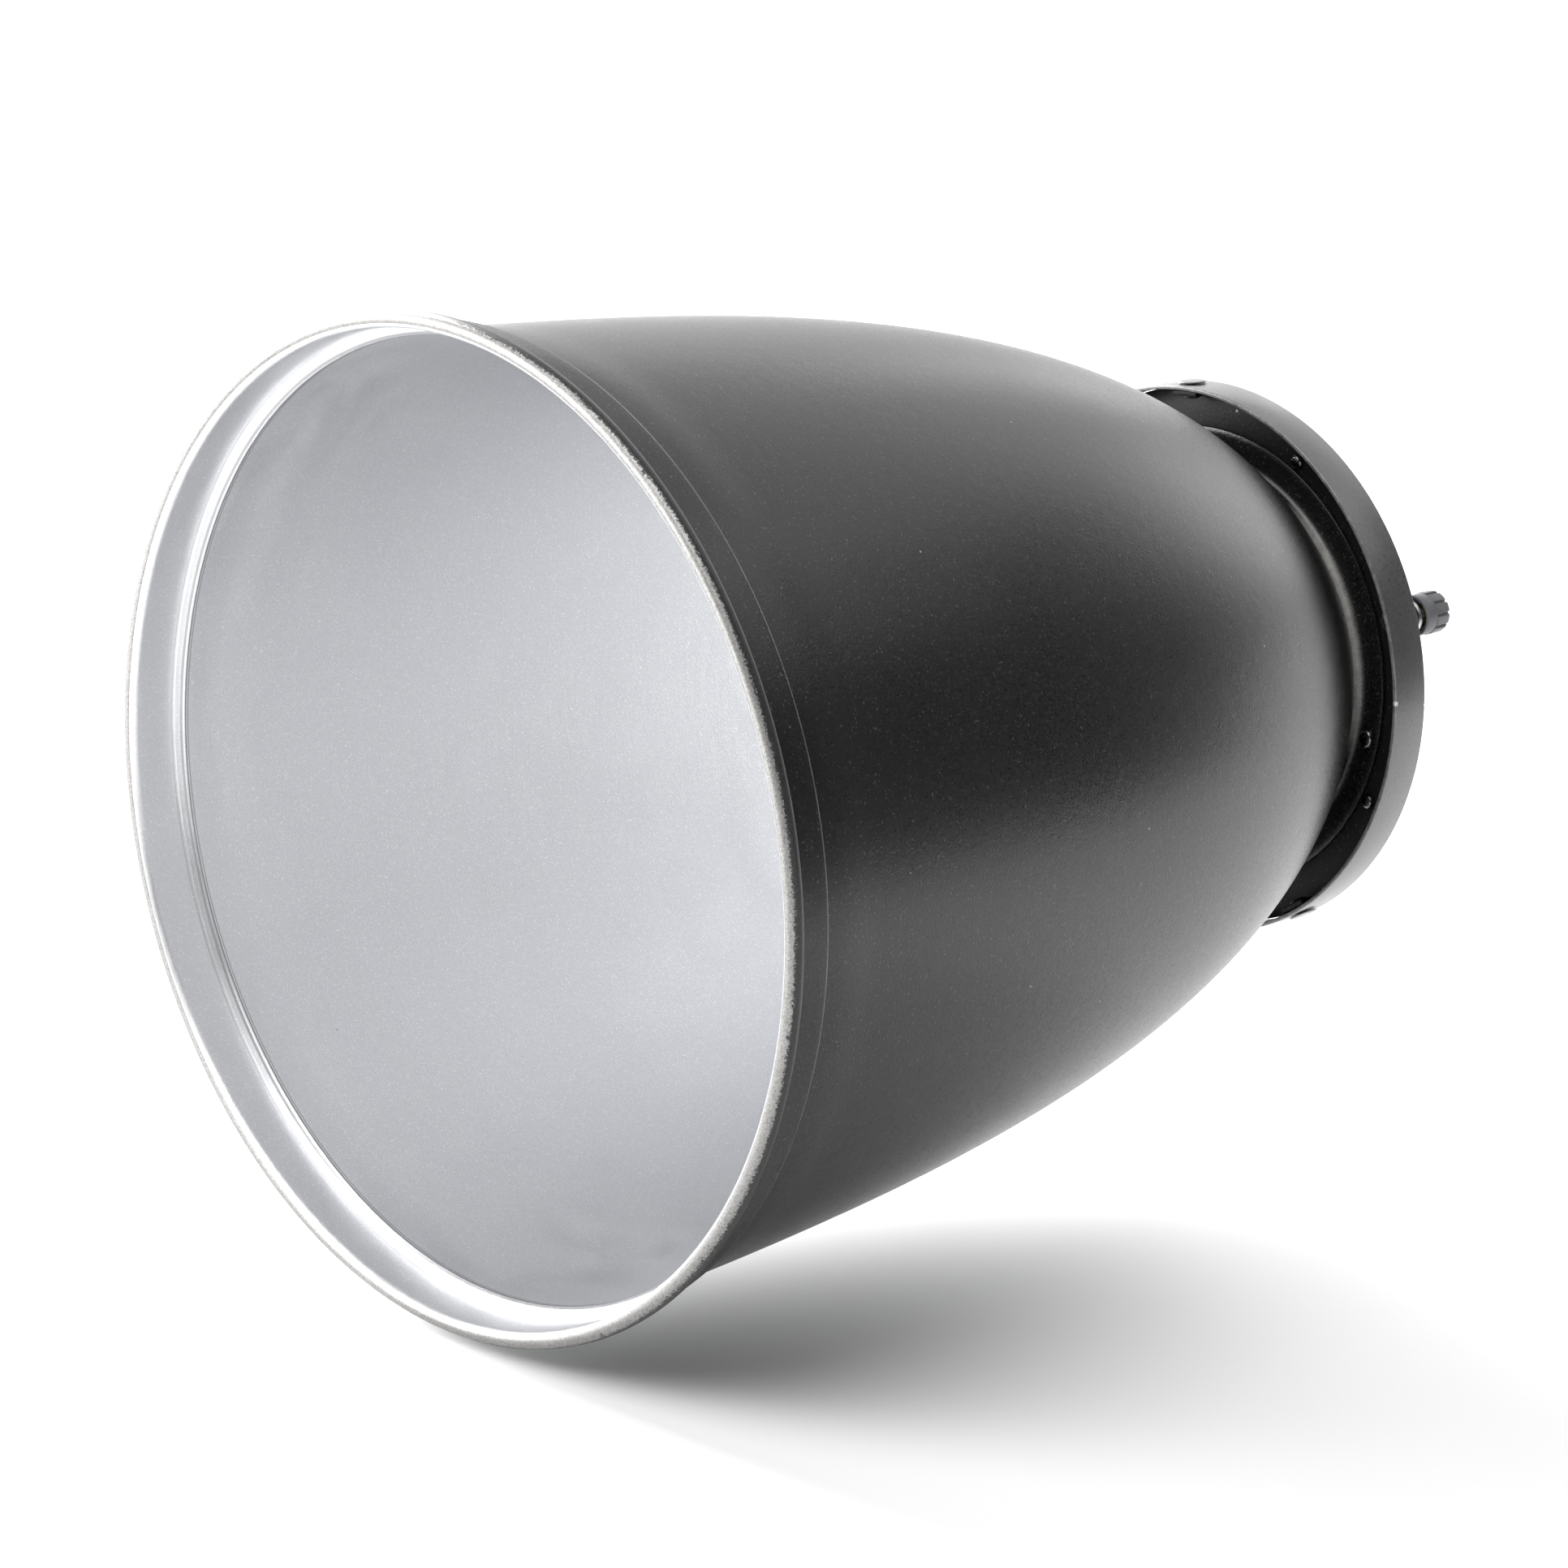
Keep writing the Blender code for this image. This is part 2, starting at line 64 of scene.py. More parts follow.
# ------------------------------------------------------------------ node helpers
class Shader:
    """A Principled material with short calls for its nodes."""

    def __init__(self, name, rough=0.5, metal=0.0, colour=(0.5, 0.5, 0.5)):
        self.mat = bpy.data.materials.new(name)
        self.mat.use_nodes = True
        self.nt = self.mat.node_tree
        self.p = self.nt.nodes["Principled BSDF"]
        self.p.inputs["Roughness"].default_value = rough
        self.p.inputs["Metallic"].default_value = metal
        self.p.inputs["Base Color"].default_value = (*colour, 1)
        self.mat.diffuse_color = (*colour, 1)
        self.obj = self.new("ShaderNodeTexCoord").outputs["Object"]

    def new(self, kind, **props):
        node = self.nt.nodes.new(kind)
        for k, v in props.items():
            setattr(node, k, v)
        return node

    def put(self, socket, value):
        if isinstance(value, (int, float)):
            socket.default_value = value
        elif isinstance(value, tuple):
            socket.default_value = (*value, 1) if len(value) == 3 and socket.type == 'RGBA' else value
        else:
            self.nt.links.new(value, socket)

    def math(self, op, a, b=0.0, c=0.0, clamp=False):
        n = self.new("ShaderNodeMath", operation=op, use_clamp=clamp)
        for s, v in zip(n.inputs, (a, b, c)):
            self.put(s, v)
        return n.outputs[0]

    def stretch(self, scale):
        n = self.new("ShaderNodeMapping")
        self.put(n.inputs["Vector"], self.obj)
        n.inputs["Scale"].default_value = scale
        return n.outputs[0]

    def noise(self, scale, detail=3.0, rough=0.55, vector=None, distortion=0.0):
        n = self.new("ShaderNodeTexNoise")
        self.put(n.inputs["Vector"], self.obj if vector is None else vector)
        n.inputs["Scale"].default_value = scale
        n.inputs["Detail"].default_value = detail
        n.inputs["Roughness"].default_value = rough
        n.inputs["Distortion"].default_value = distortion
        return n.outputs["Fac"]

    def ramp(self, fac, stops):
        n = self.new("ShaderNodeValToRGB")
        self.put(n.inputs["Fac"], fac)
        e = n.color_ramp.elements
        while len(e) < len(stops):
            e.new(0.5)
        for el, (pos, col) in zip(e, stops):
            el.position = pos
            el.color = (col, col, col, 1) if isinstance(col, (int, float)) else (*col, 1)
        return n.outputs["Color"]

    def mix(self, fac, a, b):
        n = self.new("ShaderNodeMix", data_type='RGBA')
        self.put(n.inputs[0], fac)
        self.put(n.inputs[6], a)
        self.put(n.inputs[7], b)
        return n.outputs[2]

    def mapr(self, v, a, b, c, d):
        n = self.new("ShaderNodeMapRange")
        for s, x in zip(n.inputs, (v, a, b, c, d)):
            self.put(s, x)
        return n.outputs[0]

    def specks(self, cell, radius, share, seed=0.0):
        """Sparse round dots: one per cell of a 3-D Voronoi, only in a share of the cells."""
        n = self.new("ShaderNodeTexVoronoi")
        m = self.new("ShaderNodeMapping")
        self.put(m.inputs["Vector"], self.obj)
        m.inputs["Location"].default_value = (seed, seed * 1.7, seed * 0.6)
        self.put(n.inputs["Vector"], m.outputs[0])
        n.inputs["Scale"].default_value = 1.0 / (cell * MM)
        near = self.mapr(n.outputs["Distance"], radius / cell * 0.6, radius / cell, 1.0, 0.0)
        rnd = self.new("ShaderNodeSeparateColor")
        self.put(rnd.inputs[0], n.outputs["Color"])
        return self.math('MULTIPLY', near, self.math('LESS_THAN', rnd.outputs[0], share))

    def polar(self):
        """(radius, y, x, z) in metres about the optical axis."""
        n = self.new("ShaderNodeSeparateXYZ")
        self.put(n.inputs[0], self.obj)
        x, y, z = n.outputs
        r = self.math('SQRT', self.math('ADD', self.math('MULTIPLY', x, x), self.math('MULTIPLY', z, z)))
        return r, y, x, z

    def spot(self, p, radius, soft=0.3):
        """1 inside a small sphere at p (metres), ragged by a fine noise."""
        n = self.new("ShaderNodeVectorMath", operation='DISTANCE')
        self.put(n.inputs[0], self.obj)
        n.inputs[1].default_value = p
        d = self.math('MULTIPLY_ADD', self.math('SUBTRACT', self.noise(2600, 2), 0.5), radius * 1.3 * MM, n.outputs["Value"])
        return self.mapr(d, radius * MM * (1 - soft), radius * MM, 1.0, 0.0)

    def colour(self, v):
        self.put(self.p.inputs["Base Color"], v)

    def rough(self, v):
        self.put(self.p.inputs["Roughness"], v)

    def bump(self, height, strength, distance, under=None):
        n = self.new("ShaderNodeBump")
        n.inputs["Strength"].default_value = strength
        n.inputs["Distance"].default_value = distance
        self.put(n.inputs["Height"], height)
        if under is not None:
            self.put(n.inputs["Normal"], under)
        self.put(self.p.inputs["Normal"], n.outputs[0])
        return n.outputs[0]


# ------------------------------------------------------------------ materials
def powder_black(name, dark, light, rough, grain=1500, dust=True, fog=0.0):
    """Powder coat: fine grain, slight orange peel, dust and tiny pale specks."""
    s = Shader(name, rough, 0.0, (light, light, light))
    fine = s.noise(grain, 2, 0.6)
    broad = s.noise(9, 3, 0.5)
    base = s.mix(s.mapr(fine, 0.35, 0.68, 0.0, 1.0), (dark,) * 3, (light, light, light * 1.04))
    base = s.mix(s.mapr(broad, 0.35, 0.7, 0.0, 0.35), base, (light * 1.15, light * 1.12, light * 1.08))
    glitter = s.mapr(s.noise(grain * 0.95, 1, 0.5), 0.66, 0.76, 0.0, 1.0)
    base = s.mix(glitter, base, (0.10, 0.10, 0.11))
    if dust:
        base = s.mix(s.specks(11, 0.32, 0.22, 0.31), base, (0.5, 0.5, 0.5))
        base = s.mix(s.specks(7, 0.4, 0.12, 0.77), base, (0.004, 0.004, 0.004))
    s.colour(base)
    s.rough(s.mapr(s.math('ADD', s.math('MULTIPLY', fine, 0.6), s.math('MULTIPLY', broad, 0.4)),
                   0.3, 0.7, rough - 0.05, rough + 0.07))
    first = s.bump(s.noise(260, 2, 0.5), 0.12, 0.0004)
    s.bump(fine, 0.26, 0.00026, first)
    return s


def bowl_black():
    s = powder_black("bowl_outside_powder_black", 0.005, 0.015, 0.28)
    base = s.p.inputs["Base Color"].links[0].from_socket
    r, y, x, z = s.polar()
    # painted highlight: the fillet band and the arc towards +X below carry a pale colour in place of a reflection
    fillet = s.mapr(s.math('ABSOLUTE', s.math('SUBTRACT', y, -(PLATE_T + GAP + SHEET + 1.9) * MM)), 0.0007, 0.0019, 1.0, 0.0)
    highlight_side = s.math('DIVIDE', s.math('ADD', s.math('MULTIPLY', x, 0.94), s.math('MULTIPLY', z, 0.34)), r)
    painted_highlight = s.math('MULTIPLY', fillet, s.mapr(highlight_side, 0.78, 0.96, 0.0, 1.0))
    painted_highlight = s.math('MULTIPLY', painted_highlight, s.mapr(s.noise(340, 3, 0.6), 0.3, 0.7, 0.6, 1.0))
    s.colour(s.mix(painted_highlight, base, (0.60, 0.59, 0.56)))         # painted highlight: a pale colour over one arc of the neck fillet stands in for the bright crescent reflection there
    return s.mat


def bowl_silver():
    """Bare satin aluminium: fine grain, faint rings from spinning, faint sparkle."""
    s = Shader("bowl_inside_satin_silver", 0.42, 1.0, (0.8, 0.8, 0.81))
    fine = s.noise(1900, 2, 0.6)
    rings = s.noise(1.0, 2, 0.5, s.stretch((5, 330, 5)))
    wavy = s.noise(1.0, 2, 0.5, s.stretch((34, 60, 34)), 1.2)
    base = s.mix(s.mapr(fine, 0.3, 0.7, 0.0, 1.0), (0.73, 0.735, 0.75), (0.83, 0.835, 0.85))
    base = s.mix(s.mapr(rings, 0.3, 0.7, 0.0, 0.35), base, (0.78, 0.78, 0.785))
    sparkle = s.mapr(s.noise(2000, 1, 0.5), 0.62, 0.70, 0.0, 1.0)
    base = s.mix(sparkle, base, (0.96, 0.96, 0.97))
    base = s.mix(s.specks(16, 0.35, 0.2, 0.1), base, (0.42, 0.42, 0.43))
    r, y, x, z = s.polar()
    # painted shade: thin dark bands around the step near the mouth stand in for the shade of grooves that the mesh
    # does not have
    for off, wide, groove_shade in ((0.7, 0.16, 0.7), (1.7, 0.14, 0.8), (2.5, 0.12, 0.55), (-0.6, 0.10, 0.35)):
        away = s.math('ABSOLUTE', s.math('SUBTRACT', y, (MOUTH_Y + BAND_LEN + off) * MM))
        base = s.mix(s.mapr(away, wide * MM, wide * 2 * MM, groove_shade, 0.0), base, (0.20, 0.20, 0.205))
    s.colour(base)
    s.rough(s.mapr(s.math('ADD', s.math('MULTIPLY', fine, 0.5), s.math('MULTIPLY', wavy, 0.5)), 0.3, 0.7, 0.36, 0.50))
    a = s.bump(rings, 0.10, 0.0004)
    b = s.bump(wavy, 0.12, 0.0012, a)
    s.bump(fine, 0.30, 0.0003, b)
    return s.mat


def lip_edge():
    """The roll: bare metal in front, paint behind, with a ragged border and chips."""
    s = Shader("bowl_lip_paint_edge", 0.4, 0.5, (0.5, 0.5, 0.5))
    r, y, x, z = s.polar()
    back = s.math('SUBTRACT', y, MOUTH_Y * MM)                  # along the axis from the roll's centre
    ragged = s.math('MULTIPLY', s.math('SUBTRACT', s.noise(1500, 3, 0.7), 0.5), 0.0030)
    slow = s.math('MULTIPLY', s.math('SUBTRACT', s.noise(22, 2), 0.5), 0.0010)
    edge = s.math('ADD', s.math('ADD', back, 0.00175), s.math('ADD', ragged, slow))
    paint = s.mapr(edge, 0.00020, 0.00034, 0.0, 1.0)
    flecks = s.mapr(s.noise(1300, 3, 0.7), 0.62, 0.66, 0.0, 1.0)
    nearb = s.mapr(s.math('ABSOLUTE', s.math('ADD', back, 0.0015)), 0.0002, 0.0010, 1.0, 0.0)
    paint = s.math('MAXIMUM', s.math('MULTIPLY', paint, s.math('SUBTRACT', 1.0, s.math('MULTIPLY', flecks, nearb))),
                   s.math('MULTIPLY', s.math('MULTIPLY', flecks, nearb), 0.35))
    bite = None
    for clock, rad in ((-16.0, 1.5), (-11.0, 0.9), (131.0, 1.3), (152.0, 1.2), (100.0, 0.8), (37.0, 0.8)):
        c = s.spot(at(CURL_C + 1.6, clock, MOUTH_Y - 1.6), rad)
        bite = c if bite is None else s.math('MAXIMUM', bite, c)
    paint = s.math('MAXIMUM', paint, s.math('MULTIPLY', bite, s.mapr(s.noise(900, 3, 0.7), 0.45, 0.55, 0.0, 1.0)))
    fine = s.noise(1700, 2, 0.6)
    metal = s.mix(s.mapr(fine, 0.3, 0.7, 0.0, 1.0), (0.20, 0.198, 0.192), (0.36, 0.356, 0.348))
    black = s.mix(s.mapr(fine, 0.35, 0.7, 0.0, 1.0), (0.016,) * 3, (0.036, 0.036, 0.038))
    s.colour(s.mix(paint, metal, black))
    s.put(s.p.inputs["Metallic"], s.math('SUBTRACT', 1.0, paint))
    s.rough(s.mapr(paint, 0.0, 1.0, 0.46, 0.42))
    a = s.bump(paint, 0.5, 0.00012)
    s.bump(fine, 0.2, 0.0002, a)
    return s.mat


def plate_black():
    s = powder_black("ring_plate_matt_black", 0.006, 0.012, 0.50, 1300, dust=False)
    s.p.inputs["Specular IOR Level"].default_value = 0.32
    base = s.p.inputs["Base Color"].links[0].from_socket
    base = s.mix(s.specks(13, 0.3, 0.16, 0.5), base, (0.3, 0.3, 0.31))
    base = s.mix(s.spot(at(75.9, 6.3, -PLATE_T), 0.55), base, (0.55, 0.55, 0.54))
    scuff = s.mapr(s.noise(1.0, 4, 0.7, s.stretch((120, 120, 620)), 1.0), 0.66, 0.70, 0.0, 0.35)
    s.colour(s.mix(scuff, base, (0.10, 0.10, 0.105)))
    return s.mat


def ring_black():
    """Satin rim band: worn front corner, a few pale spots on its edges."""
    s = powder_black("ring_band_satin_black", 0.048, 0.074, 0.30, 1100, dust=False)
    s.p.inputs["Specular IOR Level"].default_value = 0.9
    s.p.inputs["Coat Weight"].default_value = 0.5
    s.p.inputs["Coat Roughness"].default_value = 0.3
    base = s.p.inputs["Base Color"].links[0].from_socket
    r, y, x, z = s.polar()
    corner = s.mapr(y, -0.01280, -0.01230, 1.0, 0.0)
    worn = s.math('MULTIPLY', corner, s.mapr(s.noise(500, 4, 0.7), 0.35, 0.7, 0.15, 0.8))
    base = s.mix(worn, base, (0.30, 0.30, 0.30))
    # pale spots on the band's front and rear edges near clock 89 to 90, and on its front edge at clock 252
    pale_edge_spots = s.math('MAXIMUM', s.spot(at(82.3, 88.7, -12.6), 0.85), s.spot(at(82.4, 90.3, -0.2), 0.5))
    pale_edge_spots = s.math('MAXIMUM', pale_edge_spots, s.spot(at(82.4, 252.0, -12.5), 0.7))
    base = s.mix(pale_edge_spots, base, (0.66, 0.66, 0.65))
    s.colour(s.mix(s.specks(12, 0.28, 0.14, 0.9), base, (0.3, 0.3, 0.3)))
    return s.mat


def cast_adapter():
    s = Shader("adapter_cast_aluminium", 0.42, 1.0, (0.4, 0.4, 0.41))
    rings = s.noise(1.0, 3, 0.6, s.stretch((12, 900, 12)))
    r, y, x, z = s.polar()
    n = s.new("ShaderNodeCombineXYZ")
    s.put(n.inputs[0], s.math('MULTIPLY', r, 1500.0))
    s.put(n.inputs[1], s.math('MULTIPLY', y, 300.0))
    turned = s.noise(1.0, 2, 0.6, n.outputs[0])
    fine = s.noise(900, 3, 0.6)
    base = s.mix(s.mapr(fine, 0.3, 0.7, 0.0, 1.0), (0.30, 0.30, 0.305), (0.46, 0.46, 0.465))
    base = s.mix(s.mapr(s.noise(14, 4, 0.6), 0.42, 0.75, 0.0, 0.5), base, (0.22, 0.22, 0.22))
    s.colour(base)
    s.rough(s.mapr(s.noise(60, 4, 0.6), 0.3, 0.7, 0.34, 0.52))
    a = s.bump(turned, 0.25, 0.00012)
    s.bump(fine, 0.2, 0.0002, s.bump(rings, 0.15, 0.0001, a))
    return s.mat


def metal(name, lo, hi, rough, scale=700, metallic=1.0, grime=(0.1, 0.1, 0.1)):
    s = Shader(name, rough, metallic, hi)
    fine = s.noise(scale, 4, 0.6)
    base = s.mix(s.mapr(fine, 0.3, 0.7, 0.0, 1.0), lo, hi)
    s.colour(s.mix(s.mapr(s.noise(160, 3, 0.6), 0.55, 0.75, 0.0, 0.5), base, grime))
    s.rough(s.mapr(s.noise(300, 3, 0.6), 0.3, 0.7, rough - 0.07, rough + 0.1))
    s.bump(fine, 0.2, 0.0001)
    return s.mat


def knob_plastic():
    """Grey moulded plastic: fine matt grain, pale edges."""
    s = Shader("knob_grey_plastic", 0.46, 0.0, (0.15, 0.15, 0.155))
    fine = s.noise(2400, 3, 0.6)
    base = s.mix(s.mapr(fine, 0.3, 0.7, 0.0, 1.0), (0.115, 0.117, 0.125), (0.165, 0.167, 0.175))
    g = s.new("ShaderNodeNewGeometry")
    rub = s.mapr(g.outputs["Pointiness"], 0.52, 0.60, 0.0, 0.5)
    base = s.mix(s.math('MULTIPLY', rub, s.mapr(s.noise(500, 3), 0.35, 0.65, 0.3, 1.0)), base, (0.27, 0.27, 0.28))
    s.colour(s.mix(s.mapr(s.noise(180, 3, 0.6), 0.55, 0.8, 0.0, 0.35), base, (0.08, 0.08, 0.085)))
    s.rough(s.mapr(fine, 0.3, 0.7, 0.40, 0.54))
    s.bump(fine, 0.25, 0.00008)
    return s.mat


def floor_mat():
    s = Shader("studio_floor", 0.9, 0.0, (0.9, 0.9, 0.9))
    s.colour(s.mix(s.noise(3, 2), (0.895, 0.895, 0.895), (0.905, 0.905, 0.905)))
    return s.mat


BLACK, SILVER, LIP = bowl_black(), bowl_silver(), lip_edge()
PLATE, RING, ADAPTER = plate_black(), ring_black(), cast_adapter()
DARK = metal("fastener_black_oxide", (0.045, 0.045, 0.05), (0.10, 0.10, 0.11), 0.34, 900, 0.9, (0.02, 0.02, 0.02))
HEADS = metal("plate_fastener_black_nickel", (0.14, 0.14, 0.145), (0.32, 0.32, 0.33), 0.24, 900, 1.0, (0.05, 0.05, 0.05))
ZINC = metal("clamp_zinc_plated_steel", (0.44, 0.44, 0.45), (0.62, 0.62, 0.63), 0.30, 650, 1.0, (0.30, 0.29, 0.27))
BRASS = metal("insert_turned_brass", (0.55, 0.40, 0.16), (0.70, 0.53, 0.24), 0.30, 600, 1.0, (0.30, 0.20, 0.08))
NYLON = metal("washer_black_nylon", (0.014, 0.014, 0.015), (0.03, 0.03, 0.032), 0.5, 900, 0.0, (0.05, 0.05, 0.05))
KNOB = knob_plastic()


# ------------------------------------------------------------------ mesh helpers
def finish_mesh(name, bm, mats, body, nodes, location=(0, 0, 0), rotation=(0, 0, 0), sharp=38):
    bmesh.ops.remove_doubles(bm, verts=bm.verts, dist=1e-7)
    bmesh.ops.recalc_face_normals(bm, faces=bm.faces)
    mesh = bpy.data.meshes.new(name)
    bm.to_mesh(mesh)
    bm.free()
    mesh.shade_smooth()
    mesh.set_sharp_from_angle(angle=math.radians(sharp))
    for m in (mats if isinstance(mats, (list, tuple)) else [mats]):
        mesh.materials.append(m)
    ob = bpy.data.objects.new(name, mesh)
    ob.location = location
    ob.rotation_euler = rotation
    bpy.context.scene.collection.objects.link(ob)
    bpy.context.view_layer.update()
    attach(ob, body)
    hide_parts(*nodes)
    return ob


def rounded(points, radius, n=3):
    """Closed (y, r) outline with each corner replaced by an arc. radius is one number or one per corner."""
    out = []
    m = len(points)
    for i in range(m):
        p, a, b = Vector(points[i]), Vector(points[i - 1]), Vector(points[(i + 1) % m])
        rad = radius[i] if isinstance(radius, (list, tuple)) else radius
        if rad <= 0:
            out.append(tuple(p))
            continue
        u, v = (a - p), (b - p)
        lu, lv = u.length, v.length
        u.normalize()
        v.normalize()
        ang = u.angle(v)
        if ang > math.radians(176):
            out.append(tuple(p))
            continue
        d = min(rad / math.tan(ang / 2), lu * 0.45, lv * 0.45)
        rr = d * math.tan(ang / 2)
        c = p + (u + v).normalized() * (rr / math.sin(ang / 2))
        s, e = p + u * d - c, p + v * d - c
        a0 = math.atan2(s.y, s.x)
        a1 = math.atan2(e.y, e.x)
        da = (a1 - a0 + math.pi) % TAU - math.pi
        for k in range(n + 1):
            t = a0 + da * k / n
            out.append((c.x + rr * math.cos(t), c.y + rr * math.sin(t)))
    return out


def ring_faces(bm, rows, close_rows=True, mat_of=None):
    n = len(rows[0])
    count = len(rows) if close_rows else len(rows) - 1
    for k in range(count):
        low, high = rows[k], rows[(k + 1) % len(rows)]
        for i in range(n):
            j = (i + 1) % n
            quad = [low[i], low[j], high[j], high[i]]
            f = bm.faces.new(quad)
            if mat_of:
                f.material_index = mat_of(k)
    return bm


def lathe_bm(profile, seg, mat_of=None):
    """Closed (y, r) outline turned about Y; points on the axis are merged afterwards."""
    bm = bmesh.new()
    rows = []
    for y, r in profile:
        rows.append([bm.verts.new((r * math.sin(TAU * i / seg) * MM, y * MM, r * math.cos(TAU * i / seg) * MM))
                     for i in range(seg)])
    ring_faces(bm, rows, True, mat_of)
    bmesh.ops.remove_doubles(bm, verts=bm.verts, dist=1e-8)
    bmesh.ops.dissolve_degenerate(bm, dist=1e-8, edges=bm.edges)
    return bm


def turned_bm(profile, seg):
    """Open (y, r) outline from axis to axis, turned into a closed solid with single points at its ends."""
    bm = bmesh.new()
    first = bm.verts.new((0, profile[0][0] * MM, 0))
    last = bm.verts.new((0, profile[-1][0] * MM, 0))
    rows = []
    for y, r in profile[1:-1]:
        rows.append([bm.verts.new((r * math.sin(TAU * i / seg) * MM, y * MM, r * math.cos(TAU * i / seg) * MM))
                     for i in range(seg)])
    ring_faces(bm, rows, False)
    for row, tip in ((rows[0], first), (rows[-1], last)):
        for i in range(seg):
            bm.faces.new((tip, row[i], row[(i + 1) % seg]))
    return bm


def sector(bm, clock, half, outline, steps=14):
    """Adds a ring sector with the given closed (y, r) outline."""
    loops = []
    for i in range(steps + 1):
        a = clock - half + 2 * half * i / steps
        loops.append([bm.verts.new(at(r, a, y)) for y, r in outline])
    n = len(outline)
    for p, q in zip(loops, loops[1:]):
        for k in range(n):
            bm.faces.new((p[k], p[(k + 1) % n], q[(k + 1) % n], q[k]))
    bm.faces.new(loops[0][::-1])
    bm.faces.new(loops[-1])


# ------------------------------------------------------------------ bowl
def body_outer(s):
    return BODY_R0 * (1 - (s / BODY_LEN) ** BODY_P) ** (1 / BODY_Q) - BODY_TAPER * s


def body_slope(s):
    return (body_outer(s + 0.05) - body_outer(s - 0.05)) / 0.1


def body_mid(s):
    return body_outer(s) - SHEET / 2 * math.hypot(1, body_slope(s))


def bowl_line():
    """Middle of the sheet as (s, r) from the roll to the flange, and how many points are on the roll."""
    pts = []
    for k in range(37):
        a = math.radians(-24 + 294 * k / 36)
        pts.append((CURL_R * math.cos(a), CURL_C + CURL_R * math.sin(a)))
    roll = len(pts)
    band_r = CURL_C - CURL_R
    fr, low_r = 1.0, band_r - STEP_R
    for k in range(1, 6):
        pts.append((0.2 + (BAND_LEN - 0.4) * k / 6, band_r))
    for k in range(9):
        t = math.radians(90 - 90 * k / 8)
        pts.append((BAND_LEN + fr * math.cos(t), band_r - fr + fr * math.sin(t)))
    for k in range(9):
        t = math.radians(180 + 90 * k / 8)
        pts.append((BAND_LEN + 2 * fr + fr * math.cos(t), low_r + fr + fr * math.sin(t)))
    flange_s = -MOUTH_Y - PLATE_T - GAP - SHEET / 2
    cs = flange_s - NECK_FILLET
    ts = cs
    for _ in range(40):
        k = -body_slope(ts)
        ts = cs - NECK_FILLET * k / math.hypot(1, k)
    first, n = 19.0, 90
    for i in range(n):
        u = i / (n - 1)
        s = first + (ts - first) * (1 - (1 - u) ** 1.55)
        blend = min(1.0, (s - first) / 12.0)
        r = body_mid(s)
        pts.append((s, low_r * (1 - blend) + r * blend if blend < 1 else r))
    k = -body_slope(ts)
    cr = body_mid(ts) + NECK_FILLET / math.hypot(1, k)
    start = math.atan2(body_mid(ts) - cr, ts - cs)
    for i in range(1, 15):
        a = start - start * i / 14
        pts.append((cs + NECK_FILLET * math.cos(a), cr + NECK_FILLET * math.sin(a)))
    for k in range(1, 4):
        pts.append((flange_s, cr + (FLANGE_R - 0.25 - cr) * k / 3))
    return pts, roll


def thicken(line, t):
    left, right = [], []
    for i, (x, y) in enumerate(line):
        segs = []
        if i > 0:
            segs.append((x - line[i - 1][0], y - line[i - 1][1]))
        if i < len(line) - 1:
            segs.append((line[i + 1][0] - x, line[i + 1][1] - y))
        nx = ny = 0.0
        for dx, dy in segs:
            m = math.hypot(dx, dy)
            nx, ny = nx - dy / m, ny + dx / m
        m = math.hypot(nx, ny)
        nx, ny = nx / m, ny / m
        left.append((x + nx * t / 2, y + ny * t / 2))
        right.append((x - nx * t / 2, y - ny * t / 2))
    return left, right


def cap(a, b, n=5):
    """Half-round sheet edge from a to b, bulging away from the sheet."""
    c = ((a[0] + b[0]) / 2, (a[1] + b[1]) / 2)
    u = (a[0] - c[0], a[1] - c[1])
    v = (-u[1], u[0])
    return [(c[0] + u[0] * math.cos(t) + v[0] * math.sin(t) * 0.38,
             c[1] + u[1] * math.cos(t) + v[1] * math.sin(t) * 0.38)
            for t in (math.pi * k / n for k in range(1, n))]


def make_bowl():
    line, roll = bowl_line()
    left, right = thicken(line, SHEET)
    tail = cap(left[-1], right[-1])
    if tail[2][1] < left[-1][1]:
        tail = [(2 * (left[-1][0] + right[-1][0]) / 2 - p[0], left[-1][1] + right[-1][1] - p[1]) for p in tail][::-1]
    head = cap(right[0], left[0])
    outline = left + tail + right[::-1] + head
    nl, nt, nr = len(left), len(tail), len(right)

    def which(k):
        if k < nl + nt:
            return 0                                            # outside, paint
        k2 = nr - 1 - (k - nl - nt)                             # index along the right side
        if k2 < 0:
            return 0
        return 2 if k2 < roll - 8 else 1
    bm = lathe_bm([(s + MOUTH_Y, r) for s, r in outline], 256, which)
    return finish_mesh("bowl_shell", bm, [BLACK, SILVER, LIP], "root", ["reflector_bowl"], sharp=50)


# ------------------------------------------------------------------ mounting ring
def make_plate():
    prof = rounded([(-PLATE_T, PLATE_BORE), (-PLATE_T, PLATE_R), (0, PLATE_R), (0, PLATE_BORE)], [0.35, 0.15, 0.15, 0.35])
    bm = lathe_bm(prof, 240)
    for c in RIM_CLOCKS:
        o = rounded([(-PLATE_T - TAB_DEPTH, TAB_IN), (-PLATE_T - TAB_DEPTH, TAB_OUT), (-PLATE_T + 0.6, TAB_OUT),
                     (-PLATE_T + 0.6, TAB_IN)], [0.3, 0.3, 0, 0])
        sector(bm, c, TAB_HALF, o)
    return finish_mesh("ring_plate", bm, PLATE, "root", ["mount_plate"])


def make_ring():
    r0, r1 = RING_R - RING_T, RING_R
    prof = rounded([(-RING_W, r0), (-RING_W, r1), (0, r1), (0, r0)], [0.2, 0.4, 0.4, 0.2], 4)
    return finish_mesh("ring_band", lathe_bm(prof, 300), RING, "root", ["rim_band"])


